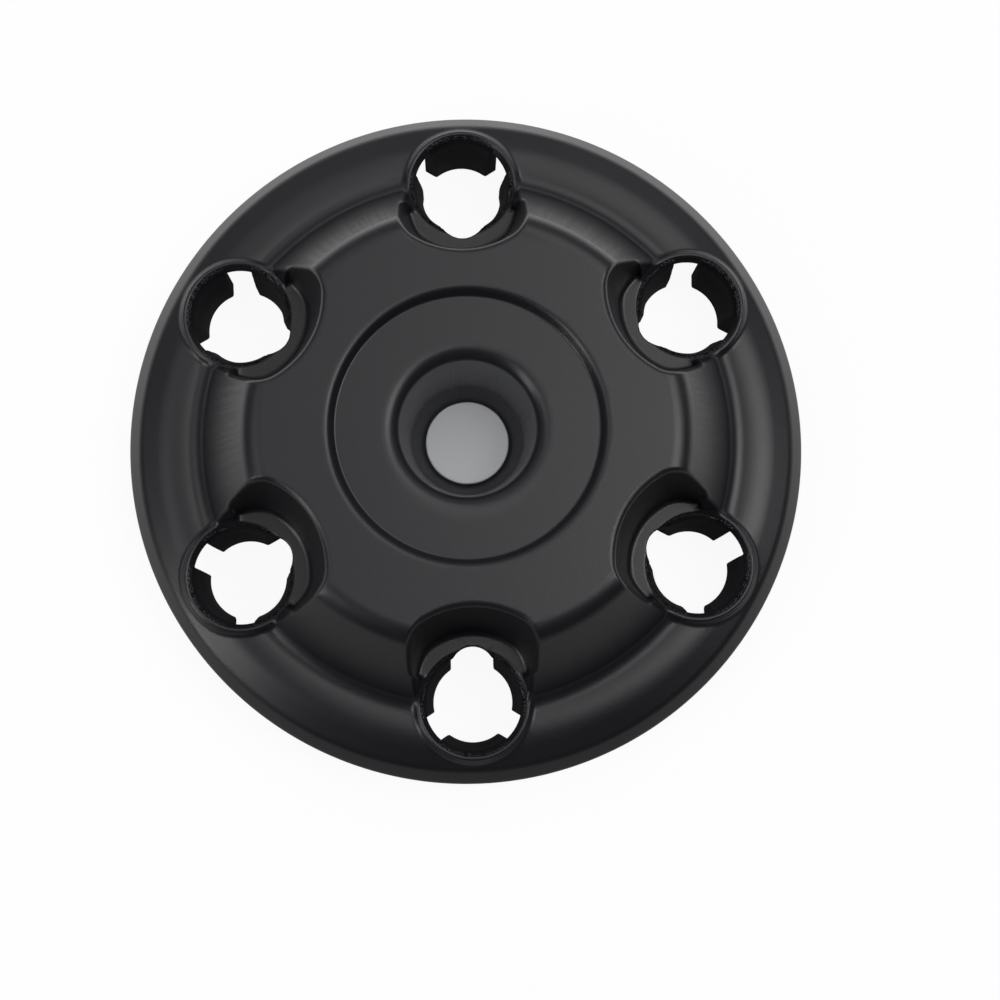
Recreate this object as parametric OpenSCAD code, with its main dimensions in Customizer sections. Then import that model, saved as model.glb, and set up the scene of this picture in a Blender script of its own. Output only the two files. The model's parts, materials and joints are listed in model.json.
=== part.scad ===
// Six-stud wheel centre cap, moulded in one piece, with a plain plug in its centre well.
// The cap stands on its clip ends: Z = 0 is their plane, and +Z points out of the wheel.
// Stud 1 lies on +Y, and the other studs follow every 60 degrees.

/* [Wheel] */
// Diameter of the circle through the studs
stud_circle_d = 139.7; // [136:0.1:144]
// Number of studs
stud_count = 6; // [6:1:6]

/* [Brim] */
// Outside diameter of the cap
cap_d = 182.6; // [181:0.2:190]
// Height of the brim's lower edge above the clip ends
brim_base = 9.5; // [6:0.5:11]
// Height of the edge's upright part
edge_rise = 3.1; // [2:0.1:4]
// Distance from the edge to the corner where the brim turns down
roll_width = 3.7; // [3:0.1:5]
// Height of that corner above the brim's lower edge
roll_height = 7.5; // [6.5:0.1:8.5]
// Radius of the circle along the brim's highest line
crest_r = 79; // [78:0.1:81]
// Height of that line above the brim's lower edge
crest_height = 10.9; // [10:0.1:11.4]
// Radius of the rounding along the crest
crest_round = 16; // [8:1:16]
// Radius of the rounding where the brim turns down
roll_round = 5; // [2:0.5:6]
// Radius of the rounding at the edge
edge_round = 2.5; // [1:0.1:2.8]

/* [Crown] */
// Height of the plateau above the clip ends
crown_height = 46; // [43:0.5:50]
// Radius where the plateau and the shoulder would meet as a sharp corner
crown_r = 56; // [54:0.5:58]
// Radius of the rounding there
crown_round = 7; // [3:0.5:9]
// Radius of the valley between shoulder and brim
valley_r = 71.5; // [70:0.5:73]
// Depth of the valley below the crest
valley_drop = 1.2; // [0.5:0.1:2]
// Radius of the rounding in the valley
valley_round = 4.5; // [2:0.5:4.5]

/* [Recess] */
// Radius of the recess at the plateau
recess_r = 35.4; // [32:0.1:38]
// Width of the recess's sloping wall
recess_slope = 1.6; // [1:0.1:2.5]
// Depth of the recess
recess_depth = 2.2; // [1:0.1:4]
// Radius of the rounding at the recess's rim
rim_round = 2; // [0.4:0.1:2.2]
// Radius of the rounding at the foot of its wall
step_round = 0.5; // [0.2:0.1:0.8]

/* [Centre well] */
// Radius of the well at the recess
well_r = 18; // [16:0.5:20]
// Depth from the recess to the seat of the plug
well_depth = 29.8; // [20:0.2:34]
// Radius at the foot of the well's wall
well_foot_r = 14.6; // [14:0.1:15.5]
// Height of the bevel from the seat to the foot of the wall
well_bevel = 5; // [3:0.5:7]
// Radius of the rounding at the well's mouth
mouth_round = 4; // [1:0.5:5]
// Radius of the rounding where the wall meets the bevel
foot_round = 1.5; // [0.5:0.5:3]
// Radius of the rounding at the seat
seat_round = 0.3; // [0.1:0.1:0.5]
// Radius of the plug's flange
plug_r = 11.2; // [10.5:0.1:12]
// Thickness of the flange at its edge
plug_flange = 1.2; // [0.8:0.1:2]
// Height of the dome on the flange
plug_dome = 0.5; // [0.3:0.1:1]
// Radius of the hole under the plug
plug_hole_r = 9.5; // [8:0.1:10]
// Clearance between the plug's stem and its hole
plug_clearance = 0.1; // [0.05:0.05:0.3]
// Length of the stem below the flange
plug_stem = 3.4; // [2:0.2:6]

/* [Stud pockets] */
// Height of a pocket's floor above the clip ends
floor_height = 21.3; // [20.5:0.1:23]
// Radius of a pocket's inner wall at its floor, about the stud
pocket_r = 18.5; // [18:0.1:19.5]
// Draft angle of that wall
pocket_draft = 13; // [5:1:16]
// Half width between a pocket's side walls at its floor
pocket_half_w = 15.6; // [15:0.1:16.5]
// Draft angle of the side walls
side_draft = 5; // [2:1:8]
// Distance inwards from the stud's axis to the ends of the side walls
pocket_end = 7; // [5.5:0.5:8]
// Radius of the funnel round the stud at the floor
funnel_r = 14.6; // [14.4:0.1:15]
// Draft angle of the funnel
funnel_draft = 12; // [5:1:14]

/* [Collars and clips] */
// Outside radius of the collar's foot
collar_r = 15.9; // [15.7:0.1:16.4]
// Outside radius of the collar's lip
lip_r = 15.1; // [15:0.1:15.4]
// Height of the collar's sloping outside
collar_drop = 3.4; // [2:0.2:4]
// Rounding of the lip
collar_round = 0.7; // [0.4:0.1:0.8]
// Width of the slope from the lip into the tube
lip_slope_w = 1.3; // [1:0.1:1.4]
// Depth of that slope
lip_slope_h = 1.6; // [1:0.1:2.4]
// Inside radius of the tube below the lip
tube_r = 12.8; // [12.7:0.1:12.9]
// Wall of the tube
tube_wall = 1.8; // [1.4:0.1:2.2]
// Inside radius of the clip fingers
finger_r = 12.4; // [12.2:0.1:12.6]
// Drop from the slope's foot to the ledge on the fingers
ledge_drop = 0.4; // [0.2:0.1:0.8]
// Radius that the clips' pads leave free for the nut
clip_r = 10.76; // [10.2:0.02:11.6]
// Height of a pad's upright face
pad_height = 11.5; // [8:0.5:12]
// Height of the slope from the pad up to the finger
pad_slope = 6; // [3:0.5:6]
// Chamfer at the pad's lower edge
pad_lead = 0.8; // [0.3:0.1:1.2]
// Height of the slots between the fingers
slot_height = 18.4; // [14:0.2:18.6]
// Angle from the outer finger's middle to each side slot's middle
side_slot_angle = 58; // [54:1:62]
// Width of a side slot
side_slot_w = 7.2; // [5:0.2:8]
// Width of the inner slot
inner_slot_w = 11.6; // [9:0.2:13]
// Distance from the stud's axis to the round end of the inner slot in the pocket's floor
inner_slot_reach = 14.8; // [14:0.1:15.5]

/* [Wall] */
// Wall of the moulding
wall = 2.4; // [2:0.1:2.8]

/* [Hidden] */
$fn = 96;

black = "#1c1c21";
grey = "#8f9091";
arc_step = 14;
cut = 1;
cap_r = cap_d / 2;
stud_r = stud_circle_d / 2;
stud_step = 360 / stud_count;
crest_z = brim_base + crest_height;
recess_z = crown_height - recess_depth;
seat_z = recess_z - well_depth;
slot_over = 0.3;

// Front of the cap from the plug's hole to the brim's edge: [radius, height, rounding]
front = [
    [plug_hole_r, seat_z, 0],
    [plug_r + plug_clearance, seat_z, seat_round],
    [well_foot_r, seat_z + well_bevel, foot_round],
    [well_r, recess_z, mouth_round],
    [recess_r - recess_slope, recess_z, step_round],
    [recess_r, crown_height, rim_round],
    [crown_r, crown_height, crown_round],
    [valley_r, crest_z - valley_drop, valley_round],
    [crest_r, crest_z, crest_round],
    [cap_r - roll_width, brim_base + roll_height, roll_round],
    [cap_r, brim_base + edge_rise, edge_round],
    [cap_r, brim_base, 0],
];

function unit(v) = v / norm(v);
function flat(v) = [v.x, v.y];
function turn(v, a) = [v.x * cos(a) - v.y * sin(a), v.x * sin(a) + v.y * cos(a)];
function right_of(v) = [v.y, -v.x];
function along(path, i) = unit(flat(path[i + 1]) - flat(path[i]));

// The arc that rounds corner b of the path a, b, c
function corner_arc(a, b, c, r) =
    let (
        u = unit(flat(a) - flat(b)),
        v = unit(flat(c) - flat(b)),
        half = acos(max(-1, min(1, u * v))) / 2,
        centre = flat(b) + unit(u + v) * r / sin(half),
        start = flat(b) + u * r / tan(half) - centre,
        side = sign(u.x * v.y - u.y * v.x),
        sweep = 180 - 2 * half,
        steps = ceil(sweep / arc_step)
    )
    [for (i = [0:steps]) centre + turn(start, -side * sweep * i / steps)];

// A path with its corners rounded
function rounded(path) = [
    for (i = [0:len(path) - 1])
        each (i == 0 || i == len(path) - 1 || path[i][2] <= 0)
            ? [flat(path[i])]
            : corner_arc(path[i - 1], path[i], path[i + 1], path[i][2])
];

// The path that runs a wall's thickness behind another, with roundings to suit
function behind(path, t) = [
    for (i = [0:len(path) - 1])
        let (
            last = len(path) - 1,
            d_in = along(path, max(i - 1, 0)),
            d_out = along(path, min(i, last - 1)),
            n_in = right_of(d_in),
            n_out = right_of(d_out),
            bend = sign(d_in.x * d_out.y - d_in.y * d_out.x),
            p = flat(path[i]) + (n_in + n_out) * t / (1 + n_in * n_out)
        )
        [p.x, p.y, path[i][2] <= 0 ? 0 : max(path[i][2] + bend * t, 0.2)]
];

back = behind(front, wall);

module at_studs() {
    for (i = [0:stud_count - 1])
        rotate([0, 0, i * stud_step]) translate([0, stud_r, 0]) children();
}

// The moulding's even wall, turned about the cap's axis
module wall_of_revolution() {
    rotate_extrude()
        polygon(concat(rounded(front), [for (i = [len(rounded(back)) - 1:-1:0]) rounded(back)[i]]));
}

// Everything below the front surface outside the recess
module below_front() {
    outer = [for (p = rounded(front)) if (p.x >= recess_r) p];
    rotate_extrude()
        polygon(concat([[recess_r, 0], [recess_r, crown_height]], outer, [[cap_r, 0]]));
}

// The space over a stud: a scoop into the crown and a narrower funnel, on one floor
module pocket(grow, floor_z) {
    rise = crown_height + cut - floor_z;
    half_w = pocket_half_w + grow;
    top_half_w = half_w + rise * tan(side_draft);
    translate([0, 0, floor_z]) {
        cylinder(h = rise, r1 = funnel_r + grow, r2 = funnel_r + grow + rise * tan(funnel_draft));
        intersection() {
            cylinder(h = rise, r1 = pocket_r + grow, r2 = pocket_r + grow + rise * tan(pocket_draft));
            translate([0, grow - pocket_end, 0])
                rotate([90, 0, 0])
                    linear_extrude(height = 2 * pocket_r)
                        polygon([[-half_w, 0], [half_w, 0], [top_half_w, rise], [-top_half_w, rise]]);
        }
    }
}

// The collar, with its rounded lip, and the tube below it
module collar_and_tube() {
    collar = [
        [tube_r, floor_height - wall - cut, 0],
        [collar_r, floor_height - wall - cut, 0],
        [collar_r, floor_height - collar_drop, 0],
        [lip_r, floor_height, collar_round],
        [tube_r + lip_slope_w, floor_height, 0],
        [tube_r, floor_height - lip_slope_h, 0],
    ];
    rotate_extrude() {
        polygon(rounded(collar));
        translate([tube_r, 0]) square([tube_wall, floor_height - wall]);
    }
}

// The gaps between the clip fingers, up to a height; the middle finger points away from the cap's axis
module finger_gaps(top) {
    for (gap = [[180, inner_slot_w], [side_slot_angle, side_slot_w], [-side_slot_angle, side_slot_w]])
        rotate([0, 0, gap[0]])
            translate([-gap[1] / 2, 0, -cut])
                cube([gap[1], 2 * tube_r, top + cut]);
}

// The pads inside the fingers, each with a ledge and a slope above and a lead-in below
module pads() {
    ledge_z = floor_height - lip_slope_h - ledge_drop;
    difference() {
        rotate_extrude()
            polygon([
                [clip_r + pad_lead, 0],
                [tube_r + tube_wall / 3, 0],
                [tube_r + tube_wall / 3, ledge_z],
                [finger_r, ledge_z],
                [finger_r, pad_height + pad_slope],
                [clip_r, pad_height],
                [clip_r, pad_lead],
            ]);
        finger_gaps(floor_height);
    }
}

// The slots that part the tube into fingers
module slots() {
    intersection() {
        translate([0, 0, -cut]) cylinder(h = slot_height + cut, r = tube_r + tube_wall + slot_over);
        finger_gaps(slot_height);
    }
}

// The round end of the inner slot, which opens the pocket's floor
module floor_slot() {
    round_at = inner_slot_reach - inner_slot_w / 2;
    rotate([0, 0, 180])
        translate([0, 0, slot_height / 2])
            linear_extrude(height = floor_height + cut - slot_height / 2) {
                translate([-inner_slot_w / 2, 0]) square([inner_slot_w, round_at]);
                translate([0, round_at]) circle(d = inner_slot_w);
            }
}

module cap_shell() {
    color(black)
        difference() {
            union() {
                wall_of_revolution();
                intersection() {
                    below_front();
                    at_studs() pocket(wall, floor_height - wall);
                }
                at_studs() collar_and_tube();
            }
            at_studs() {
                pocket(0, floor_height);
                translate([0, 0, -cut]) cylinder(h = crown_height + 2 * cut, r = tube_r);
                slots();
                floor_slot();
            }
        }
    color(black) at_studs() pads();
}

module centre_plug() {
    dome_r = (plug_r * plug_r + plug_dome * plug_dome) / (2 * plug_dome);
    color(grey)
        translate([0, 0, seat_z])
            rotate_extrude() {
                intersection() {
                    translate([0, plug_flange + plug_dome - dome_r]) circle(r = dome_r, $fn = 720);
                    square([plug_r, plug_flange + plug_dome]);
                }
                translate([0, -plug_stem])
                    square([plug_hole_r - plug_clearance, plug_stem + plug_flange / 2]);
            }
}

cap_shell();
centre_plug();
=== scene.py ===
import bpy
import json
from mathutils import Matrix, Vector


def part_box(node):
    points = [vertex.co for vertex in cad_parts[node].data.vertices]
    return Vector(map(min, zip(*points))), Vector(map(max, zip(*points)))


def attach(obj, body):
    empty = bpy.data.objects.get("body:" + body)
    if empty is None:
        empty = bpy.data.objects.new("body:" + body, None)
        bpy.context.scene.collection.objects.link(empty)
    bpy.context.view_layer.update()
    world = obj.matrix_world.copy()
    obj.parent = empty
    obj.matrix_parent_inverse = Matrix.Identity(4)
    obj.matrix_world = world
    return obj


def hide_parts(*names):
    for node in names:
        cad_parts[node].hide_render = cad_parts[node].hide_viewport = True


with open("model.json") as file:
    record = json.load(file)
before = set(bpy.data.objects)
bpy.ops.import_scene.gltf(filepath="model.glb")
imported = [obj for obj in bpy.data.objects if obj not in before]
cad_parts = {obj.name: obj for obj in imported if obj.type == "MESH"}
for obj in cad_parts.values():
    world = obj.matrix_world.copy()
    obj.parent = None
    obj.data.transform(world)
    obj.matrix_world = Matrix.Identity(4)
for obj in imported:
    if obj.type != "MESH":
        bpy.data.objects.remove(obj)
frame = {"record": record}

"""The looks of a six-stud wheel centre cap: its moulded shell, the plug in its well, and a studio."""

import json
import logging
import math
from dataclasses import dataclass, field
from enum import Enum
from functools import cached_property
from typing import Any, Callable, Sequence

import bpy
import numpy as np
from mathutils import Matrix, Vector

LOG = logging.getLogger("wheel_cap")
MM = 0.001

Array = np.ndarray
Field = Callable[[Array, Array, Array], Array]


class Slot(Enum):
    """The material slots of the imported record."""

    SHELL = "shell"
    PLUG = "plug"


class Trait(Enum):
    """Whether a cut or a joint of two forms is rounded outwards or filled inwards."""

    EDGE = "edge"
    FILLET = "fillet"


def rounded(a: Array, b: Array, radius: float, trait: Trait = Trait.EDGE) -> Array:
    """Meets two signed distances with a round edge or fillet.

    Args:
        a: Distances to the first form in millimetres, negative inside.
        b: Distances to the second form.
        radius: Radius of the rounding.
        trait: EDGE keeps what both forms hold, FILLET what either holds.

    Returns:
        Distances to the form that the two make together.
    """
    sign = 1.0 if trait is Trait.EDGE else -1.0
    a, b = sign * a, sign * b
    over = np.hypot(np.maximum(radius + a, 0.0), np.maximum(radius + b, 0.0))
    return sign * (np.minimum(np.maximum(a, b), -radius) + over)


@dataclass(frozen=True)
class Corner:
    """One corner of the turned front, with the radius that rounds it, in millimetres."""

    radius: float
    height: float
    rounding: float = 0.0

    @property
    def point(self) -> Array:
        """The corner's place in the plane through the axis."""
        return np.array([self.radius, self.height])


class TurnedFront:
    """The front of the cap as straight lines and true arcs in the plane through its axis."""

    def __init__(self, corners: Sequence[Corner]) -> None:
        """Lays the lines and arcs.

        Args:
            corners: The corners from the centre outwards.
        """
        self.lines: list[tuple[Array, Array]] = []
        self.arcs: list[tuple[Array, float, Array, Array, float]] = []
        start = corners[0].point
        for before, corner, after in zip(corners, corners[1:], corners[2:]):
            back = _unit(before.point - corner.point)
            ahead = _unit(after.point - corner.point)
            half = math.acos(float(back @ ahead)) / 2
            reach = corner.rounding / math.tan(half)
            first = corner.point + back * reach
            last = corner.point + ahead * reach
            self.lines.append((start, first))
            if corner.rounding > 0:
                centre = corner.point + _unit(back + ahead) * corner.rounding / math.sin(half)
                turn = math.copysign(1.0, _cross(ahead, back))
                self.arcs.append((centre, corner.rounding, first - centre, last - centre, turn))
            start = last
        self.lines.append((start, corners[-1].point))

    def distance(self, r: Array, z: Array) -> Array:
        """Measures from points to the front.

        Args:
            r: Radii of the points.
            z: Their heights.

        Returns:
            Signed distances, positive in front of the cap.
        """
        best = np.full(np.broadcast(r, z).shape, np.inf)
        for a, b in self.lines:
            along = b - a
            length = float(np.hypot(*along))
            along = along / length
            dr, dz = r - a[0], z - a[1]
            side = along[0] * dz - along[1] * dr
            t = np.clip(along[0] * dr + along[1] * dz, 0.0, length)
            away = np.hypot(dr - along[0] * t, dz - along[1] * t)
            best = _nearer(best, np.where(side < 0, -away, away))
        for centre, radius, first, last, turn in self.arcs:
            dr, dz = r - centre[0], z - centre[1]
            within = (turn * (first[0] * dz - first[1] * dr) >= 0) & (turn * (dr * last[1] - dz * last[0]) >= 0)
            away = -turn * (np.hypot(dr, dz) - radius)
            best = _nearer(best, np.where(within, away, np.inf))
        return best


def _unit(v: Array) -> Array:
    """Returns a vector of length one."""
    return v / np.linalg.norm(v)


def _cross(a: Array, b: Array) -> float:
    """Returns the cross product of two flat vectors."""
    return float(a[0] * b[1] - a[1] * b[0])


def _nearer(a: Array, b: Array) -> Array:
    """Returns the smaller in size of two signed distances."""
    return np.where(np.abs(b) < np.abs(a), b, a)


@dataclass(frozen=True)
class FrontSizes:
    """Sizes of the turned front, in millimetres, with heights above the clip ends."""

    brim_base: float = 9.5
    edge_rise: float = 3.1
    edge_round: float = 2.5
    roll_width: float = 3.7
    roll_height: float = 7.5
    roll_round: float = 5.0
    crest_radius: float = 79.0
    crest_height: float = 10.9
    crest_round: float = 16.0
    valley_radius: float = 71.5
    valley_drop: float = 1.2
    valley_round: float = 4.5
    crown_radius: float = 56.0
    crown_round: float = 7.0
    recess_radius: float = 35.4
    recess_slope: float = 1.6
    recess_depth: float = 2.2
    rim_round: float = 2.0
    step_round: float = 0.5
    well_radius: float = 18.0
    well_depth: float = 29.8
    well_foot_radius: float = 14.6
    well_bevel: float = 5.0
    mouth_round: float = 4.0
    foot_round: float = 1.5
    seat_round: float = 0.3
    plug_radius: float = 11.2
    hole_radius: float = 9.5
    clearance: float = 0.1

    def seat(self, crown: float) -> float:
        """Height of the plug's seat under a crown of a given height."""
        return crown - self.recess_depth - self.well_depth

    def corners(self, crown: float, edge: float) -> list[Corner]:
        """Lists the front's corners from the plug's hole to the brim's edge.

        Args:
            crown: Height of the plateau.
            edge: Outside radius of the cap.

        Returns:
            The corners in order.
        """
        floor = crown - self.recess_depth
        seat = self.seat(crown)
        crest = self.brim_base + self.crest_height
        return [
            Corner(self.hole_radius, seat),
            Corner(self.plug_radius + self.clearance, seat, self.seat_round),
            Corner(self.well_foot_radius, seat + self.well_bevel, self.foot_round),
            Corner(self.well_radius, floor, self.mouth_round),
            Corner(self.recess_radius - self.recess_slope, floor, self.step_round),
            Corner(self.recess_radius, crown, self.rim_round),
            Corner(self.crown_radius, crown, self.crown_round),
            Corner(self.valley_radius, crest - self.valley_drop, self.valley_round),
            Corner(self.crest_radius, crest, self.crest_round),
            Corner(edge - self.roll_width, self.brim_base + self.roll_height, self.roll_round),
            Corner(edge, self.brim_base + self.edge_rise, self.edge_round),
            Corner(edge, self.brim_base),
        ]


@dataclass(frozen=True)
class Pocket:
    """The space over a stud: a scoop into the crown and a narrower funnel, on one floor."""

    floor: float = 21.3
    radius: float = 18.5
    draft: float = math.radians(13.0)
    half_width: float = 15.6
    side_draft: float = math.radians(5.0)
    end: float = 7.0
    funnel_radius: float = 14.6
    funnel_draft: float = math.radians(12.0)
    corner_round: float = 5.0
    end_round: float = 1.5
    joint_round: float = 1.0
    floor_round: float = 1.2

    def distance(self, u: Array, v: Array, away: Array, z: Array) -> Array:
        """Measures to the space.

        Args:
            u: Distances sideways from the stud's axis.
            v: Distances outwards from the stud's axis.
            away: Distances from the stud's axis.
            z: Heights.

        Returns:
            Signed distances, negative inside.
        """
        rise = z - self.floor
        cone = (away - self.radius - rise * math.tan(self.draft)) * math.cos(self.draft)
        sides = (np.abs(u) - self.half_width - rise * math.tan(self.side_draft)) * math.cos(self.side_draft)
        scoop = rounded(rounded(cone, sides, self.corner_round), v + self.end, self.end_round)
        funnel = (away - self.funnel_radius - rise * math.tan(self.funnel_draft)) * math.cos(self.funnel_draft)
        wall = rounded(scoop, funnel, self.joint_round, Trait.FILLET)
        return rounded(wall, -rise, self.floor_round)


@dataclass(frozen=True)
class ClipTube:
    """The collar round a stud, the tube below it, its three fingers and their pads."""

    foot_radius: float = 15.9
    lip_radius: float = 15.1
    drop: float = 3.4
    collar_round: float = 0.7
    collar_fillet: float = 1.2
    lip_width: float = 1.3
    lip_height: float = 1.6
    bore: float = 12.8
    wall: float = 1.8
    finger_radius: float = 12.4
    pad_slope: float = 6.0
    pad_lead: float = 0.8
    slot_height: float = 18.4
    slot_reach: float = 0.3
    side_slot_angle: float = math.radians(58.0)
    side_slot_width: float = 7.2
    inner_slot_width: float = 11.6
    inner_slot_reach: float = 14.8
    shoulder_round: float = 0.9
    edge_round: float = 0.3

    def slot_planes(self, u: Array, v: Array) -> Array:
        """Measures to the nearest of the three straight gaps between the fingers, negative inside it."""
        inner = np.maximum(np.abs(u) - self.inner_slot_width / 2, v)
        across = np.abs(u) * math.cos(self.side_slot_angle) - v * math.sin(self.side_slot_angle)
        along = np.abs(u) * math.sin(self.side_slot_angle) + v * math.cos(self.side_slot_angle)
        side = np.maximum(np.abs(across) - self.side_slot_width / 2, -along)
        return np.minimum(inner, side)

    def collar(self, away: Array, z: Array, top: float) -> Array:
        """Measures to the collar as a full disc, before its bore."""
        lean = math.atan2(self.foot_radius - self.lip_radius, self.drop)
        flank = (away - self.lip_radius - (top - z) * math.tan(lean)) * math.cos(lean)
        disc = rounded(flank, z - top, self.collar_round)
        return np.maximum(disc, top - self.drop - z)

    def tube(self, away: Array, z: Array) -> Array:
        """Measures to the tube as a full bar, before its bore."""
        bar = rounded(away - self.bore - self.wall, -z, self.edge_round)
        return np.maximum(bar, z - self.slot_height)

    def lip_slope(self, away: Array, z: Array, top: float) -> Array:
        """Measures to what lies outside the lip's slope, which runs on down to the fingers."""
        lip = math.atan2(self.lip_width, self.lip_height)
        climb = np.minimum(z - top, 0.5) + self.lip_height
        return (self.bore + climb * math.tan(lip) - away) * math.cos(lip)

    def outside_bore(self, away: Array, z: Array, top: float) -> Array:
        """Measures to what lies outside the bore and the slope of its lip."""
        return np.maximum(self.bore - away, self.lip_slope(away, z, top))

    def slots(self, gaps: Array, away: Array, z: Array) -> Array:
        """Measures to the slots that part the tube, negative inside them."""
        gap = rounded(gaps, z - self.slot_height, self.edge_round)
        return np.maximum(gap, away - self.bore - self.wall - self.slot_reach)

    def floor_slot(self, u: Array, v: Array, z: Array) -> Array:
        """Measures to the inner slot's round end in the pocket's floor, negative inside it."""
        half = self.inner_slot_width / 2
        beyond = np.maximum(-v - self.inner_slot_reach + half, 0.0)
        end = np.hypot(u, beyond) - half
        return np.maximum(np.maximum(end, v), self.slot_height / 2 - z)

    def pads(self, gaps: Array, away: Array, z: Array, grip: float, pad_height: float, top: float) -> Array:
        """Measures to the fingers' inner skin and its pads.

        Args:
            gaps: Distances to the gaps between the fingers.
            away: Distances from the stud's axis.
            z: Heights.
            grip: Radius that the pads leave free.
            pad_height: Height of the pads' upright faces.
            top: Height of the collar's lip.

        Returns:
            Signed distances, negative inside.
        """
        back = self.bore + self.wall / 3
        rise, run = self.pad_slope, self.finger_radius - grip
        slope = ((z - pad_height) * run - (away - grip) * rise) / math.hypot(rise, run)
        face = rounded(grip - away, slope, 1.0)
        lead = (grip + self.pad_lead - away - z) * math.sqrt(0.5)
        pad = rounded(face, lead, self.edge_round)
        sleeve = rounded(self.lip_slope(away, z, top), self.finger_radius - away, self.shoulder_round)
        skin = np.maximum(rounded(pad, sleeve, 1.0, Trait.FILLET), away - back)
        return rounded(rounded(skin, -z, self.edge_round), -gaps, self.edge_round)


@dataclass(frozen=True)
class Cylinders:
    """The grid on which the shell is meshed: rings, and heights, in stretches of even steps."""

    columns: int
    ring_stretches: tuple[tuple[float, float], ...]
    height_stretches: tuple[tuple[float, float], ...]
    ring_start: float
    height_start: float

    @staticmethod
    def _ticks(start: float, stretches: Sequence[tuple[float, float]]) -> Array:
        """Joins stretches of even steps.

        Args:
            start: The first tick.
            stretches: End and step of each stretch.

        Returns:
            All ticks in order.
        """
        ticks = [np.array([start])]
        for end, step in stretches:
            begin = float(ticks[-1][-1])
            count = max(1, round((end - begin) / step))
            ticks.append(np.linspace(begin, end, count + 1)[1:])
        return np.concatenate(ticks)

    def rings(self) -> Array:
        """Radii of the grid's rings."""
        return self._ticks(self.ring_start, self.ring_stretches)

    def heights(self) -> Array:
        """Heights of the grid's levels."""
        return self._ticks(self.height_start, self.height_stretches)


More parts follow.
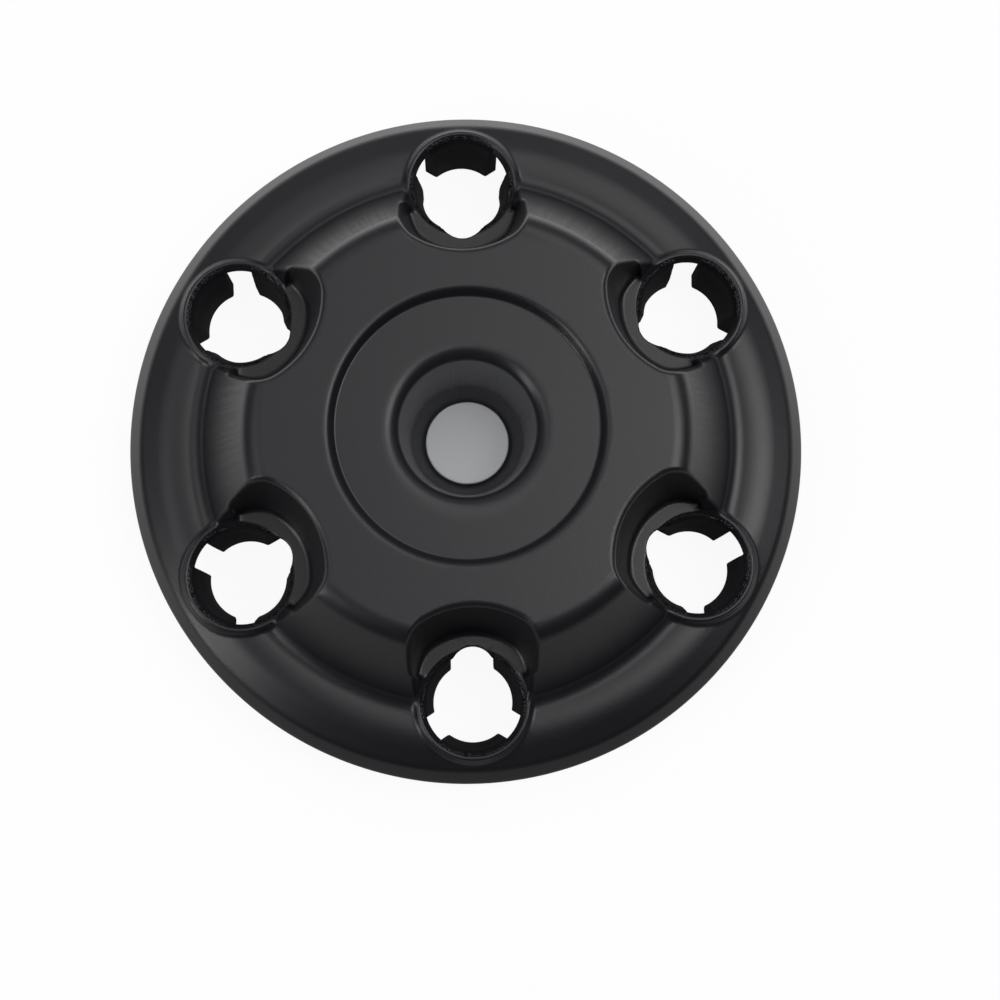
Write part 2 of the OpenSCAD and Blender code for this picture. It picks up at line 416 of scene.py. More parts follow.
class Skin:
    """Turns a field of distances into a closed skin of quads, one sector of the cap at a time."""

    def __init__(self, form: Field, grid: Cylinders, sectors: int) -> None:
        """Keeps what the skin is made from.

        Args:
            form: Signed distances at points, the same in each sector.
            grid: The grid to mesh on.
            sectors: Number of equal sectors in a full turn.
        """
        self.form = form
        self.grid = grid
        self.sector = 2 * math.pi / sectors

    def gradient(self, points: Array, step: float = 0.002) -> Array:
        """Returns the slope of the distances at points, one row each."""
        slopes = np.empty_like(points)
        for axis in range(3):
            low, high = points.copy(), points.copy()
            low[:, axis] -= step
            high[:, axis] += step
            slopes[:, axis] = (self.form(*high.T) - self.form(*low.T)) / (2 * step)
        return slopes

    def onto(self, points: Array, rounds: int = 2, limit: float = 0.25) -> tuple[Array, Array]:
        """Moves points onto the skin.

        Args:
            points: Points near the skin.
            rounds: Number of steps towards it.
            limit: Longest step, so that a point by a sharp edge stays near it.

        Returns:
            The moved points, and the skin's outward normals there.
        """
        for _ in range(rounds):
            slopes = self.gradient(points)
            steepness = np.maximum((slopes**2).sum(axis=1), 0.25)
            move = np.clip(self.form(*points.T) / steepness, -limit, limit)
            points = points - slopes * move[:, None]
        slopes = self.gradient(points)
        return points, slopes / np.maximum(np.linalg.norm(slopes, axis=1), 1e-6)[:, None]

    def corner_normals(self, mesh: bpy.types.Mesh, points: Array, normals: Array) -> Array:
        """Gives each corner of each face its normal, so that a face by a crease keeps its own side's.

        Args:
            mesh: A mesh on the skin.
            points: Its vertices in millimetres.
            normals: The skin's normals there.

        Returns:
            One normal for each corner: the vertex's own, or where it lies on a crease, that of the face's side.
        """
        inset, crease = 0.25, math.radians(12.0)
        corners = np.empty(len(mesh.loops), dtype=np.int32)
        starts, counts = (np.empty(len(mesh.polygons), dtype=np.int32) for _ in range(2))
        mesh.loops.foreach_get("vertex_index", corners)
        mesh.polygons.foreach_get("loop_start", starts)
        mesh.polygons.foreach_get("loop_total", counts)
        middles = np.add.reduceat(points[corners], starts) / counts[:, None]
        near = points[corners] * (1 - inset) + np.repeat(middles, counts, axis=0) * inset
        own = self.gradient(near)
        own /= np.maximum(np.linalg.norm(own, axis=1), 1e-6)[:, None]
        smooth = (own * normals[corners]).sum(axis=1) > math.cos(crease)
        own[smooth] = normals[corners][smooth]
        return own

    def quads(self) -> tuple[Array, Array]:
        """Meshes one sector.

        Returns:
            Vertices in millimetres, and quads that face outwards. The sector's last column of vertices is its first
            one, turned to where the next sector starts.
        """
        rings, levels = self.grid.rings(), self.grid.heights()
        columns = self.grid.columns
        angles = (np.arange(columns + 1) + 0.5) * self.sector / columns - self.sector / 2
        x = np.sin(angles)[:, None, None] * rings[None, :, None]
        y = np.cos(angles)[:, None, None] * rings[None, :, None]
        values = self.form(x[:-1], y[:-1], levels[None, None, :])
        values = np.concatenate([values, values[:1]])
        shape = values.shape
        nodes = np.stack(np.broadcast_arrays(x, y, levels[None, None, :]), axis=-1).reshape(-1, 3)
        inside = values < 0

        cells = np.array(shape) - 1
        sums = np.zeros((int(np.prod(cells)), 13))
        faces: list[Array] = []
        for axis in range(3):
            faces.append(self._cross_edges(axis, inside, values.ravel(), nodes, cells, sums))
        used = np.flatnonzero(sums[:, 12] > 0)
        vertices = self._settle(sums[used])

        turn = self.sector
        row = cells[1] * cells[2]
        first = used[used < row]
        wrapped = vertices[: len(first)] @ np.array(
            [[math.cos(turn), -math.sin(turn), 0.0], [math.sin(turn), math.cos(turn), 0.0], [0.0, 0.0, 1.0]]
        )
        number = np.full((cells[0] + 1) * row, -1, dtype=np.int64)
        number[used] = np.arange(len(used))
        number[first + cells[0] * row] = len(used) + np.arange(len(first))
        quads = number[np.concatenate(faces)]
        return np.concatenate([vertices, wrapped]), quads

    def _cross_edges(
        self, axis: int, inside: Array, values: Array, nodes: Array, cells: Array, sums: Array
    ) -> Array:
        """Finds where the skin crosses the grid's edges along one axis, and notes it in the cells around.

        Args:
            axis: 0 round the cap, 1 outwards, 2 upwards.
            inside: Which grid nodes lie inside the form.
            values: Distances at the nodes, flat.
            nodes: Places of the nodes, flat.
            cells: Number of cells along each axis.
            sums: Running sums of each cell, which this fills.

        Returns:
            Quads of cell numbers, one for each crossing.
        """
        lower = [slice(None)] * 3
        upper = [slice(None)] * 3
        lower[axis], upper[axis] = slice(None, -1), slice(1, None)
        a = np.stack(np.nonzero(inside[tuple(lower)] != inside[tuple(upper)]), axis=1)
        b = a.copy()
        b[:, axis] += 1
        flat_a = np.ravel_multi_index(tuple(a.T), inside.shape)
        flat_b = np.ravel_multi_index(tuple(b.T), inside.shape)
        share = values[flat_a] / (values[flat_a] - values[flat_b])
        crossing = nodes[flat_a] + (nodes[flat_b] - nodes[flat_a]) * share[:, None]
        normal = self.gradient(crossing)
        normal /= np.maximum(np.linalg.norm(normal, axis=1), 1e-6)[:, None]
        self._note(axis, a, crossing, normal, cells, sums)

        one, two = (axis + 1) % 3, (axis + 2) % 3
        keep = np.ones(len(a), dtype=bool)
        for other in (one, two):
            top = cells[other] if other == 0 else cells[other] - 1
            keep &= (a[:, other] >= 1) & (a[:, other] <= top)
        a, outward = a[keep], inside.ravel()[flat_a][keep]
        around = []
        for step_one, step_two in ((-1, -1), (0, -1), (0, 0), (-1, 0)):
            cell = a.copy()
            cell[:, one] += step_one
            cell[:, two] += step_two
            around.append((cell[:, 0] * cells[1] + cell[:, 1]) * cells[2] + cell[:, 2])
        quads = np.stack(around, axis=1)
        quads[~outward] = quads[~outward, ::-1]
        return quads

    @staticmethod
    def _note(axis: int, a: Array, crossing: Array, normal: Array, cells: Array, sums: Array) -> None:
        """Adds each crossing to the sums of the four cells round its edge.

        Args:
            axis: Axis of the edges.
            a: Lower node of each crossed edge.
            crossing: Where the skin crosses.
            normal: The skin's normal there.
            cells: Number of cells along each axis.
            sums: Running sums of each cell: six products of the normals, three of normals and offsets, the crossings'
                own sum, and their number.
        """
        offset = (normal * crossing).sum(axis=1)
        pairs = ((0, 0), (0, 1), (0, 2), (1, 1), (1, 2), (2, 2))
        rows = [normal[:, i] * normal[:, j] for i, j in pairs]
        rows += [normal[:, i] * offset for i in range(3)] + [crossing[:, i] for i in range(3)]
        rows.append(np.ones(len(a)))
        one, two = (axis + 1) % 3, (axis + 2) % 3
        for step_one in (-1, 0):
            for step_two in (-1, 0):
                cell = a.copy()
                cell[:, one] += step_one
                cell[:, two] += step_two
                real = ((cell >= 0) & (cell < cells)).all(axis=1)
                flat = (cell[real, 0] * cells[1] + cell[real, 1]) * cells[2] + cell[real, 2]
                for column, row in enumerate(rows):
                    sums[:, column] += np.bincount(flat, weights=row[real], minlength=len(sums))

    @staticmethod
    def _settle(sums: Array, pull: float = 0.05) -> Array:
        """Places each cell's vertex where the planes of its crossings meet.

        Args:
            sums: Sums of the cells that the skin crosses.
            pull: How strongly a vertex keeps to the middle of its crossings.

        Returns:
            The vertices.
        """
        count = sums[:, 12:13]
        middle = sums[:, 9:12] / count
        matrix = sums[:, [0, 1, 2, 1, 3, 4, 2, 4, 5]].reshape(-1, 3, 3) / count[:, :, None]
        right = sums[:, 6:9] / count - np.einsum("nij,nj->ni", matrix, middle)
        matrix = matrix + np.eye(3) * pull
        return middle + np.linalg.solve(matrix, right[:, :, None])[:, :, 0]


@dataclass(frozen=True)
class CapShell:
    """The moulding: brim, valley, shoulder, crown, recess and well, with a scoop and a clip tube at each stud."""

    crown: float
    edge: float
    stud_radius: float
    studs: int
    grip: float
    pad_height: float
    wall: float = 2.4
    scoop_edge: float = 1.5
    rim_round: float = 0.5
    triangles: int = 185_000
    front: FrontSizes = field(default_factory=FrontSizes)
    pocket: Pocket = field(default_factory=Pocket)
    clip: ClipTube = field(default_factory=ClipTube)
    grid: Cylinders = field(
        default_factory=lambda: Cylinders(
            columns=160,
            ring_start=9.0,
            ring_stretches=((18.5, 0.7), (32.8, 1.1), (36.4, 0.4), (42.5, 1.0), (49.0, 0.6), (92.2, 0.45)),
            height_start=-0.45,
            height_stretches=((9.0, 0.45), (22.2, 0.4), (40.5, 0.6), (46.8, 0.35)),
        )
    )

    @cached_property
    def turned(self) -> TurnedFront:
        """The turned front before the scoops are cut."""
        return TurnedFront(self.front.corners(self.crown, self.edge))

    def form(self, x: Array, y: Array, z: Array) -> Array:
        """Measures from points to the moulding.

        Args:
            x: Places of the points along X, in millimetres.
            y: Places along Y.
            z: Heights.

        Returns:
            Signed distances, negative in the plastic.
        """
        pitch = 2 * math.pi / self.studs
        turn = np.round(np.arctan2(x, y) / pitch) * pitch
        u = x * np.cos(turn) - y * np.sin(turn)
        v = x * np.sin(turn) + y * np.cos(turn) - self.stud_radius
        away = np.hypot(u, v)
        r = np.hypot(x, y)
        if r.ndim == 3:
            r = r[:1]
        faces = self.turned.distance(r, z)
        scoop = self.pocket.distance(u, v, away, z)
        top = self.pocket.floor

        skin = rounded(faces, -scoop, self.scoop_edge)
        body = np.maximum(skin, -(skin + self.wall))
        body = rounded(body, self.front.brim_base - z, self.rim_round)
        body = rounded(body, self.front.hole_radius - r, self.clip.edge_round)
        body = rounded(body, self.clip.collar(away, z, top), self.clip.collar_fillet, Trait.FILLET)
        body = rounded(body, self.clip.tube(away, z), self.clip.edge_round, Trait.FILLET)
        body = np.maximum(body, -scoop)
        body = rounded(body, self.clip.outside_bore(away, z, top), self.clip.edge_round)
        gaps = self.clip.slot_planes(u, v)
        body = rounded(body, -self.clip.slots(gaps, away, z), self.clip.edge_round)
        body = rounded(body, -self.clip.floor_slot(u, v, z), self.clip.edge_round)
        return np.minimum(body, self.clip.pads(gaps, away, z, self.grip, self.pad_height, top))

    def build(self, finish: bpy.types.Material) -> bpy.types.Object:
        """Makes the moulding as one closed mesh.

        Args:
            finish: Its material.

        Returns:
            The finished piece.
        """
        skin = Skin(self.form, self.grid, self.studs)
        vertices, quads = skin.quads()
        sector = mesh_object("cap_sector", vertices * MM, quads)
        turned = turn_copies(sector, self.studs, finish)
        fine = len(turned.data.polygons) * 2
        thin_out(turned, self.triangles / fine)
        turned.name = turned.data.name = "moulded_shell"
        points = read_points(turned.data) / MM
        points, normals = skin.onto(points)
        write_points(turned.data, points * MM)
        turned.data.normals_split_custom_set(skin.corner_normals(turned.data, points, normals))
        LOG.info("moulded_shell: %d quads a sector, %d faces", len(quads), len(turned.data.polygons))
        return turned


@dataclass(frozen=True)
class CentrePlug:
    """The plain round plug on the well's seat: a domed flange with a stem below it."""

    seat: float
    radius: float = 11.2
    flange: float = 1.2
    dome: float = 0.5
    edge_round: float = 0.45
    stem_radius: float = 9.4
    stem: float = 3.4
    stem_chamfer: float = 0.5
    sides: int = 144

    def outline(self) -> list[tuple[float, float]]:
        """Lists the turned outline from the middle of the stem's end to the middle of the dome."""
        bottom, top = self.seat - self.stem, self.seat + self.flange
        points = [(0.0, bottom), (self.stem_radius - self.stem_chamfer, bottom)]
        points += [(self.stem_radius, bottom + self.stem_chamfer), (self.stem_radius, self.seat)]
        points += [(self.radius - 0.1, self.seat), (self.radius, self.seat + 0.1)]
        steps = 8
        for i in range(steps + 1):
            a = math.pi / 2 * i / steps
            corner = (self.radius - self.edge_round, top - self.edge_round)
            points.append((corner[0] + self.edge_round * math.cos(a), corner[1] + self.edge_round * math.sin(a)))
        reach = self.radius - self.edge_round
        for i in range(1, 13):
            r = reach * (1 - i / 12)
            points.append((r, top + self.dome * (1 - (r / reach) ** 2)))
        return points

    def build(self, finish: bpy.types.Material) -> bpy.types.Object:
        """Turns the outline about the axis.

        Args:
            finish: Its material.

        Returns:
            The finished piece.
        """
        outline = self.outline()
        angles = np.arange(self.sides) * 2 * math.pi / self.sides
        rings = [np.array([[0.0, 0.0, outline[0][1]]])]
        for r, z in outline[1:-1]:
            rings.append(np.stack([r * np.cos(angles), r * np.sin(angles), np.full(self.sides, z)], axis=1))
        rings.append(np.array([[0.0, 0.0, outline[-1][1]]]))
        vertices = np.concatenate(rings)
        faces: list[list[int]] = []
        for i in range(self.sides):
            j = (i + 1) % self.sides
            faces.append([0, 1 + j, 1 + i])
            for ring in range(len(outline) - 3):
                a, b = 1 + ring * self.sides, 1 + (ring + 1) * self.sides
                faces.append([a + i, a + j, b + j, b + i])
            last = 1 + (len(outline) - 3) * self.sides
            faces.append([last + i, last + j, len(vertices) - 1])
        plug = mesh_object("plain_plug", vertices * MM, faces)
        plug.data.materials.append(finish)
        plug.data.shade_smooth()
        LOG.info("plain_plug: %d faces", len(faces))
        return plug


def mesh_object(name: str, vertices: Array, faces: Sequence[Sequence[int]] | Array) -> bpy.types.Object:
    """Makes an object at the origin from vertices and faces.

    Args:
        name: The object's name.
        vertices: Places in metres.
        faces: Vertex numbers of each face.

    Returns:
        The new object, linked to the scene.
    """
    mesh = bpy.data.meshes.new(name)
    mesh.from_pydata(vertices.tolist(), [], faces.tolist() if isinstance(faces, np.ndarray) else faces)
    mesh.update()
    piece = bpy.data.objects.new(name, mesh)
    bpy.context.scene.collection.objects.link(piece)
    return piece


def read_points(mesh: bpy.types.Mesh) -> Array:
    """Returns a mesh's vertices, one row each."""
    flat = np.empty(len(mesh.vertices) * 3)
    mesh.vertices.foreach_get("co", flat)
    return flat.reshape(-1, 3)


def write_points(mesh: bpy.types.Mesh, points: Array) -> None:
    """Sets a mesh's vertices."""
    mesh.vertices.foreach_set("co", points.ravel())
    mesh.update()


def settled(piece: bpy.types.Object) -> None:
    """Turns a piece with its modifiers into a plain mesh."""
    bpy.context.view_layer.update()
    view = piece.evaluated_get(bpy.context.evaluated_depsgraph_get())
    mesh = bpy.data.meshes.new_from_object(view)
    piece.modifiers.clear()
    old, piece.data = piece.data, mesh
    bpy.data.meshes.remove(old)


def turning_tree() -> bpy.types.GeometryNodeTree:
    """Builds the tree that turns copies of a sector about the axis and welds them into one mesh.

    Returns:
        The tree, with inputs for the number of sectors, the welding distance and the finish.
    """
    tree = bpy.data.node_groups.new("turned_sectors", "GeometryNodeTree")
    face = tree.interface
    face.new_socket("Geometry", in_out="INPUT", socket_type="NodeSocketGeometry")
    face.new_socket("Sectors", in_out="INPUT", socket_type="NodeSocketInt")
    face.new_socket("Weld", in_out="INPUT", socket_type="NodeSocketFloat")
    face.new_socket("Finish", in_out="INPUT", socket_type="NodeSocketMaterial")
    face.new_socket("Geometry", in_out="OUTPUT", socket_type="NodeSocketGeometry")
    make, link = tree.nodes.new, tree.links.new
    given, made = make("NodeGroupInput"), make("NodeGroupOutput")
    points, index = make("GeometryNodePoints"), make("GeometryNodeInputIndex")
    share, angle, turn = make("ShaderNodeMath"), make("ShaderNodeMath"), make("ShaderNodeCombineXYZ")
    share.operation, angle.operation = "DIVIDE", "MULTIPLY"
    angle.inputs[1].default_value = 2 * math.pi
    copies, real = make("GeometryNodeInstanceOnPoints"), make("GeometryNodeRealizeInstances")
    weld, smooth, coat = make("GeometryNodeMergeByDistance"), make("GeometryNodeSetShadeSmooth"), make(
        "GeometryNodeSetMaterial"
    )
    link(given.outputs["Sectors"], points.inputs["Count"])
    link(index.outputs[0], share.inputs[0])
    link(given.outputs["Sectors"], share.inputs[1])
    link(share.outputs[0], angle.inputs[0])
    link(angle.outputs[0], turn.inputs["Z"])
    link(points.outputs[0], copies.inputs["Points"])
    link(given.outputs["Geometry"], copies.inputs["Instance"])
    link(turn.outputs[0], copies.inputs["Rotation"])
    link(given.outputs["Weld"], weld.inputs["Distance"])
    link(copies.outputs[0], real.inputs[0])
    link(real.outputs[0], weld.inputs["Geometry"])
    link(weld.outputs[0], smooth.inputs["Geometry"])
    link(smooth.outputs[0], coat.inputs["Geometry"])
    link(given.outputs["Finish"], coat.inputs["Material"])
    link(coat.outputs[0], made.inputs[0])
    return tree


def turn_copies(sector: bpy.types.Object, count: int, finish: bpy.types.Material) -> bpy.types.Object:
    """Turns copies of a sector into a whole.

    Args:
        sector: The sector, which becomes the whole.
        count: Number of sectors.
        finish: The whole's material.

    Returns:
        The same object with the welded mesh.
    """
    sector.data.materials.append(finish)
    modifier = sector.modifiers.new("turned_sectors", "NODES")
    tree = turning_tree()
    values = {"Sectors": count, "Weld": 0.002 * MM, "Finish": finish}
    for item in tree.interface.items_tree:
        if item.in_out == "INPUT" and item.name in values:
            modifier_value(modifier, tree, item.identifier, values[item.name])
    settled(sector)
    return sector


def modifier_value(modifier: bpy.types.Modifier, tree: bpy.types.NodeTree, identifier: str, value: Any) -> None:
    """Sets one input of a modifier by its socket's identifier."""
    if modifier.node_group is None:
        modifier.node_group = tree
    modifier[identifier] = value


def thin_out(piece: bpy.types.Object, ratio: float) -> None:
    """Takes faces out where the form is flat.

    Args:
        piece: The piece.
        ratio: Share of its triangles that stay.
    """
    fewer = piece.modifiers.new("thin_out", "DECIMATE")
    fewer.ratio = min(1.0, ratio)
    settled(piece)


@dataclass(frozen=True)
class MouldedPlastic:
    """A moulded plastic with a fine grain, a faint unevenness of flow, a soft sheen and painted light about the axis:
    a paler colour near it.
    """

    name: str
    colour: tuple[float, float, float]
    roughness: float
    gloss: float = 0.5
    grain_scale: float = 2600.0
    grain_depth: float = 0.00002
    flow_scale: float = 38.0
    flow_depth: float = 0.00006
    unevenness: float = 0.05
    # Painted light: how much paler the colour is near the axis, fading out between the two radii below, in metres.
    painted_well_light: float = 0.0
    painted_well_light_start: float = 0.015
    painted_well_light_end: float = 0.022

    def material(self) -> bpy.types.Material:
        """Builds the material.

        Returns:
            A material on Object coordinates.
        """
        stuff = bpy.data.materials.new(self.name)
        stuff.use_nodes = True
        tree = stuff.node_tree
        tree.nodes.clear()
        make, link = tree.nodes.new, tree.links.new
        out, shader = make("ShaderNodeOutputMaterial"), make("ShaderNodeBsdfPrincipled")
        link(shader.outputs[0], out.inputs["Surface"])
        shader.inputs["Specular IOR Level"].default_value = self.gloss
        place = make("ShaderNodeTexCoord")
        grain, flow = make("ShaderNodeTexNoise"), make("ShaderNodeTexNoise")
        grain.inputs["Scale"].default_value = self.grain_scale
        grain.inputs["Detail"].default_value = 2.0
        flow.inputs["Scale"].default_value = self.flow_scale
        flow.inputs["Detail"].default_value = 3.0
        for noise in (grain, flow):
            link(place.outputs["Object"], noise.inputs["Vector"])
        spread = mapped(tree, (0.0, 1.0), (self.roughness - self.unevenness, self.roughness + self.unevenness))
        link(flow.outputs["Fac"], spread.inputs["Value"])
        link(spread.outputs["Result"], shader.inputs["Roughness"])
        tint = make("ShaderNodeMix")
        tint.data_type = "RGBA"
        tint.inputs[6].default_value = (*[c * 0.9 for c in self.colour], 1.0)
        tint.inputs[7].default_value = (*[c * 1.1 for c in self.colour], 1.0)
        link(flow.outputs["Fac"], tint.inputs[0])
        # Painted light: the colour is made paler near the axis, so that the deep, shaded well reads lighter.
        flat, reach = make("ShaderNodeVectorMath"), make("ShaderNodeVectorMath")
        flat.operation, reach.operation = "MULTIPLY", "LENGTH"
        flat.inputs[1].default_value = (1.0, 1.0, 0.0)
        painted_light_ramp = mapped(tree, (self.painted_well_light_start, self.painted_well_light_end), (1.0 + self.painted_well_light, 1.0))
        painted_light_colour = make("ShaderNodeVectorMath")
        painted_light_colour.operation = "SCALE"
        link(place.outputs["Object"], flat.inputs[0])
        link(flat.outputs[0], reach.inputs[0])
        link(reach.outputs["Value"], painted_light_ramp.inputs["Value"])
        link(tint.outputs[2], painted_light_colour.inputs[0])
        link(painted_light_ramp.outputs["Result"], painted_light_colour.inputs["Scale"])
        link(painted_light_colour.outputs[0], shader.inputs["Base Color"])
        coarse, fine = make("ShaderNodeBump"), make("ShaderNodeBump")
        coarse.inputs["Distance"].default_value = self.flow_depth
        fine.inputs["Distance"].default_value = self.grain_depth
        link(flow.outputs["Fac"], coarse.inputs["Height"])
        link(grain.outputs["Fac"], fine.inputs["Height"])
        link(coarse.outputs["Normal"], fine.inputs["Normal"])
        link(fine.outputs["Normal"], shader.inputs["Normal"])
        return stuff


@dataclass(frozen=True)
class Lamp:
    """A soft rectangular lamp, as bright to look at as its radiance says."""

    name: str
    place: tuple[float, float, float]
    size: tuple[float, float]
    radiance: float
    aim: tuple[float, float, float] = (0.0, 0.0, 0.03)

    def hang(self) -> None:
        """Adds the lamp to the scene."""
        data = bpy.data.lights.new(self.name, "AREA")
        data.shape = "RECTANGLE"
        data.size, data.size_y = self.size
        data.energy = self.radiance * math.pi * self.size[0] * self.size[1]
        point_lamp(self.name, data, self.place, self.aim)


@dataclass(frozen=True)
class WellLamp:
    """A narrow lamp beside the camera that brings the deep well up to the level of the rest."""

    place: tuple[float, float, float] = (0.0, -0.2, 0.87)
    aim: tuple[float, float, float] = (0.0, -0.002, 0.044)
    spread: float = math.radians(2.7)
    softness: float = 0.4
    radius: float = 0.004
    power: float = 16.0

    def hang(self) -> None:
        """Adds the lamp to the scene."""
        data = bpy.data.lights.new("well_lamp", "SPOT")
        data.spot_size, data.spot_blend = self.spread, self.softness
        data.shadow_soft_size = self.radius
        data.energy = self.power
        point_lamp("well_lamp", data, self.place, self.aim)


def point_lamp(name: str, data: bpy.types.Light, place: Sequence[float], aim: Sequence[float]) -> None:
    """Puts a lamp in its place and turns it to what it lights.

    Args:
        name: The lamp's name.
        data: The lamp.
        place: Where it hangs.
        aim: Where it shines.
    """
    lamp = bpy.data.objects.new(name, data)
    bpy.context.scene.collection.objects.link(lamp)
    lamp.location = place
    lamp.rotation_euler = (Vector(aim) - Vector(place)).to_track_quat("-Z", "Y").to_euler()


@dataclass(frozen=True)
class Viewpoint:
    """The camera of the photograph, fitted to the cap's outline and holes."""

    place: tuple[float, float, float] = (-0.002889, -0.066869, 0.470172)
    focal_px: float = 1700.0
    image_px: float = 1000.0
    sensor_mm: float = 36.0
    turn: tuple[float, float, float] = (-0.11214, -0.02350, -0.02375)

    def place_camera(self) -> None:
        """Adds the camera and makes it the scene's own."""
        data = bpy.data.cameras.new("photo_view")
        data.sensor_width = self.sensor_mm
        data.lens = self.focal_px / self.image_px * self.sensor_mm
        camera = bpy.data.objects.new("photo_view", data)
        bpy.context.scene.collection.objects.link(camera)
        spin = Vector(self.turn)
        to_camera = Matrix.Rotation(spin.length, 3, spin.normalized()) @ Matrix.Diagonal((1.0, -1.0, -1.0))
        axes = Matrix((to_camera[0], -to_camera[1], -to_camera[2])).transposed()
        camera.matrix_world = Matrix.Translation(self.place) @ axes.to_4x4()
        bpy.context.scene.camera = camera


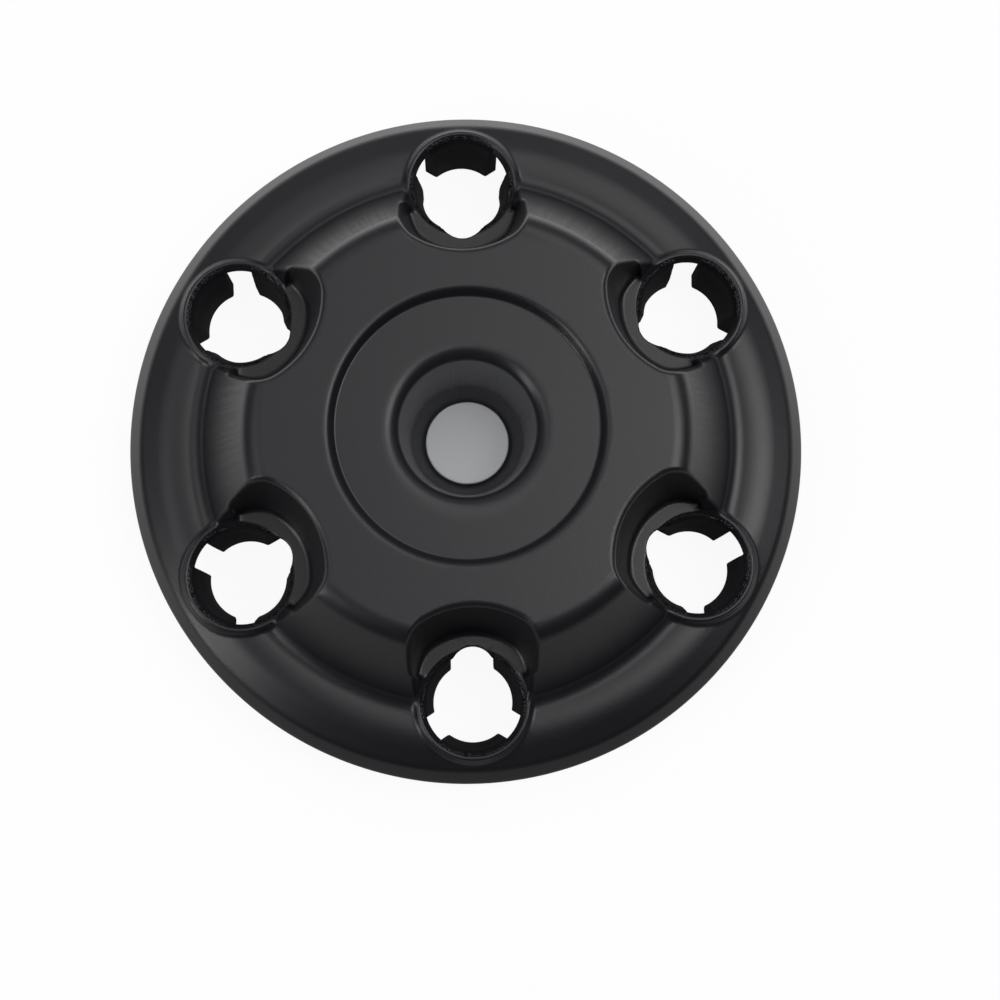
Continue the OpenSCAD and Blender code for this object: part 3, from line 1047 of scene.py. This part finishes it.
@dataclass(frozen=True)
class Studio:
    """A white floor, a dim room that is lighter at the back, and soft lamps.

    The floor's reflection is bright beyond the brim, grows towards the back as painted reflection, and fades under
    the cap as painted shadow.
    """

    floor_size: float = 6.0
    floor_glow: float = 0.93
    floor_colour: float = 0.08
    # Painted shadow: reflections see the floor's glow drop to the shadow level under the cap, fading between these
    # two radii.
    shadow_start: float = 0.088
    shadow_end: float = 0.112
    shadow: float = 0.02
    # Painted reflection: reflections see the floor's glow grow from the near side to the far side along Y.
    side_span: float = 0.12
    near_side: float = 0.3
    far_side: float = 1.6
    room_edge: float = -0.1
    room_near: float = 0.02
    room_far: float = 0.36
    lamps: tuple[Lamp | WellLamp, ...] = (
        Lamp("ceiling_left", (-0.65, 0.625, 1.5), (1.3, 1.95), 0.52, (-0.65, 0.625, 0.0)),
        Lamp("ceiling_right", (0.65, 0.625, 1.5), (1.3, 1.95), 1.35, (0.65, 0.625, 0.0)),
        Lamp("overhead_lamp", (0.438, 0.077, 1.222), (0.35, 0.35), 1.5),
        Lamp("right_lamp", (0.69, -0.03, 0.98), (0.5, 0.6), 2.7),
        Lamp("left_lamp", (-0.771, 0.0, 0.919), (0.5, 0.5), 0.8),
        Lamp("left_strip", (-0.971, -0.516, 0.65), (0.25, 1.1), 5.0),
        WellLamp(),
    )

    def build(self) -> None:
        """Adds the floor, the room's light and the lamps."""
        half = self.floor_size / 2
        corners = np.array([[-half, -half, 0.0], [half, -half, 0.0], [half, half, 0.0], [-half, half, 0.0]])
        floor = mesh_object("floor", corners, [[0, 1, 2, 3]])
        floor.data.materials.append(self._floor_finish())
        bpy.context.scene.world = self._room()
        for lamp in self.lamps:
            lamp.hang()
        bpy.context.scene.view_settings.view_transform = "Standard"

    def _room(self) -> bpy.types.World:
        """Builds the room's light, which the camera sees as the floor's own white."""
        world = bpy.data.worlds.new("room")
        world.use_nodes = True
        tree = world.node_tree
        make, link = tree.nodes.new, tree.links.new
        back, place, parts = tree.nodes["Background"], make("ShaderNodeTexCoord"), make("ShaderNodeSeparateXYZ")
        depth = mapped(tree, (self.room_edge, 1.0), (self.room_near, self.room_far))
        path, seen, strength = make("ShaderNodeLightPath"), make("ShaderNodeMath"), make("ShaderNodeMath")
        back.inputs["Color"].default_value = (1.0, 1.0, 1.0, 1.0)
        seen.operation, strength.operation = "MULTIPLY", "MAXIMUM"
        seen.inputs[1].default_value = self.floor_glow
        link(place.outputs["Generated"], parts.inputs[0])
        link(parts.outputs["Y"], depth.inputs["Value"])
        link(path.outputs["Is Camera Ray"], seen.inputs[0])
        link(seen.outputs[0], strength.inputs[0])
        link(depth.outputs["Result"], strength.inputs[1])
        link(strength.outputs[0], back.inputs["Strength"])
        return world

    def _floor_finish(self) -> bpy.types.Material:
        """Builds a floor that looks white and keeps a faint real shadow, with a painted shadow and painted reflection
        in its glow where it is mirrored.
        """
        stuff = bpy.data.materials.new("floor_white")
        stuff.use_nodes = True
        tree = stuff.node_tree
        tree.nodes.clear()
        make, link = tree.nodes.new, tree.links.new
        out, both = make("ShaderNodeOutputMaterial"), make("ShaderNodeAddShader")
        diffuse, glow = make("ShaderNodeBsdfDiffuse"), make("ShaderNodeEmission")
        diffuse.inputs["Color"].default_value = (*[self.floor_colour] * 3, 1.0)
        place, parts, away = make("ShaderNodeTexCoord"), make("ShaderNodeSeparateXYZ"), make("ShaderNodeVectorMath")
        away.operation = "LENGTH"
        # Painted shadow under the cap and painted reflection towards the back, in the glow that glossy and
        # transmission rays see.
        under = mapped(tree, (self.shadow_start, self.shadow_end), (self.shadow, 1.0))
        side = mapped(tree, (-self.side_span, self.side_span), (self.near_side, self.far_side))
        path = make("ShaderNodeLightPath")
        mirrored, lit, shaded, seen, strength = (make("ShaderNodeMath") for _ in range(5))
        mirrored.operation = seen.operation = "MAXIMUM"
        lit.operation = shaded.operation = strength.operation = "MULTIPLY"
        strength.inputs[1].default_value = self.floor_glow
        link(place.outputs["Object"], away.inputs[0])
        link(place.outputs["Object"], parts.inputs[0])
        link(away.outputs["Value"], under.inputs["Value"])
        link(parts.outputs["Y"], side.inputs["Value"])
        link(path.outputs["Is Glossy Ray"], mirrored.inputs[0])
        link(path.outputs["Is Transmission Ray"], mirrored.inputs[1])
        link(under.outputs["Result"], lit.inputs[0])
        link(side.outputs["Result"], lit.inputs[1])
        link(mirrored.outputs[0], shaded.inputs[0])
        link(lit.outputs[0], shaded.inputs[1])
        link(shaded.outputs[0], seen.inputs[0])
        link(path.outputs["Is Camera Ray"], seen.inputs[1])
        link(seen.outputs[0], strength.inputs[0])
        link(strength.outputs[0], glow.inputs["Strength"])
        link(diffuse.outputs[0], both.inputs[0])
        link(glow.outputs[0], both.inputs[1])
        link(both.outputs[0], out.inputs["Surface"])
        return stuff


def mapped(
    tree: bpy.types.NodeTree, given: tuple[float, float], made: tuple[float, float]
) -> bpy.types.ShaderNodeMapRange:
    """Adds a node that maps one span of values to another.

    Args:
        tree: The tree that takes the node.
        given: The span that comes in.
        made: The span that goes out.

    Returns:
        The node.
    """
    node = tree.nodes.new("ShaderNodeMapRange")
    node.inputs["From Min"].default_value, node.inputs["From Max"].default_value = given
    node.inputs["To Min"].default_value, node.inputs["To Max"].default_value = made
    return node


def dress(piece: bpy.types.Object, node: str) -> None:
    """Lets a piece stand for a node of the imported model.

    Args:
        piece: The finished piece.
        node: The node that it replaces.
    """
    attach(piece, "root")
    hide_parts(node)


def read_shell() -> CapShell:
    """Reads the moulding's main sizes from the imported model.

    Returns:
        The moulding to build.
    """
    low, high = (Vector(corner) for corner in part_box("cap_shell"))
    clips = [mount for mount in frame["record"]["mounts"] if mount["kind"] == "clamp"]
    stud = Vector(clips[0]["pos_m"])
    length = clips[0]["dims"]["length_mm"]
    return CapShell(
        crown=high.z / MM,
        edge=(high.x - low.x) / 2 / MM,
        stud_radius=stud.xy.length / MM,
        studs=len(clips),
        grip=clips[0]["dims"]["r_mm"],
        pad_height=stud.z / MM + length / 2,
    )


def main() -> None:
    """Builds the camera, the studio and the pieces."""
    logging.basicConfig(level=logging.INFO, format="%(name)s: %(message)s")
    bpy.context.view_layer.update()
    Viewpoint().place_camera()
    Studio().build()
    # The black's paler colour near the axis is painted light in the well.
    black = MouldedPlastic("black_satin_plastic", (0.011, 0.011, 0.014), 0.35, painted_well_light=0.3)
    grey = MouldedPlastic("grey_plastic", (0.27, 0.275, 0.28), 0.5)
    shell = read_shell()
    dress(shell.build(black.material()), "cap_shell")
    seat = shell.front.seat(shell.crown)
    dress(CentrePlug(seat).build(grey.material()), "centre_plug")


if __name__ == "__main__":
    main()
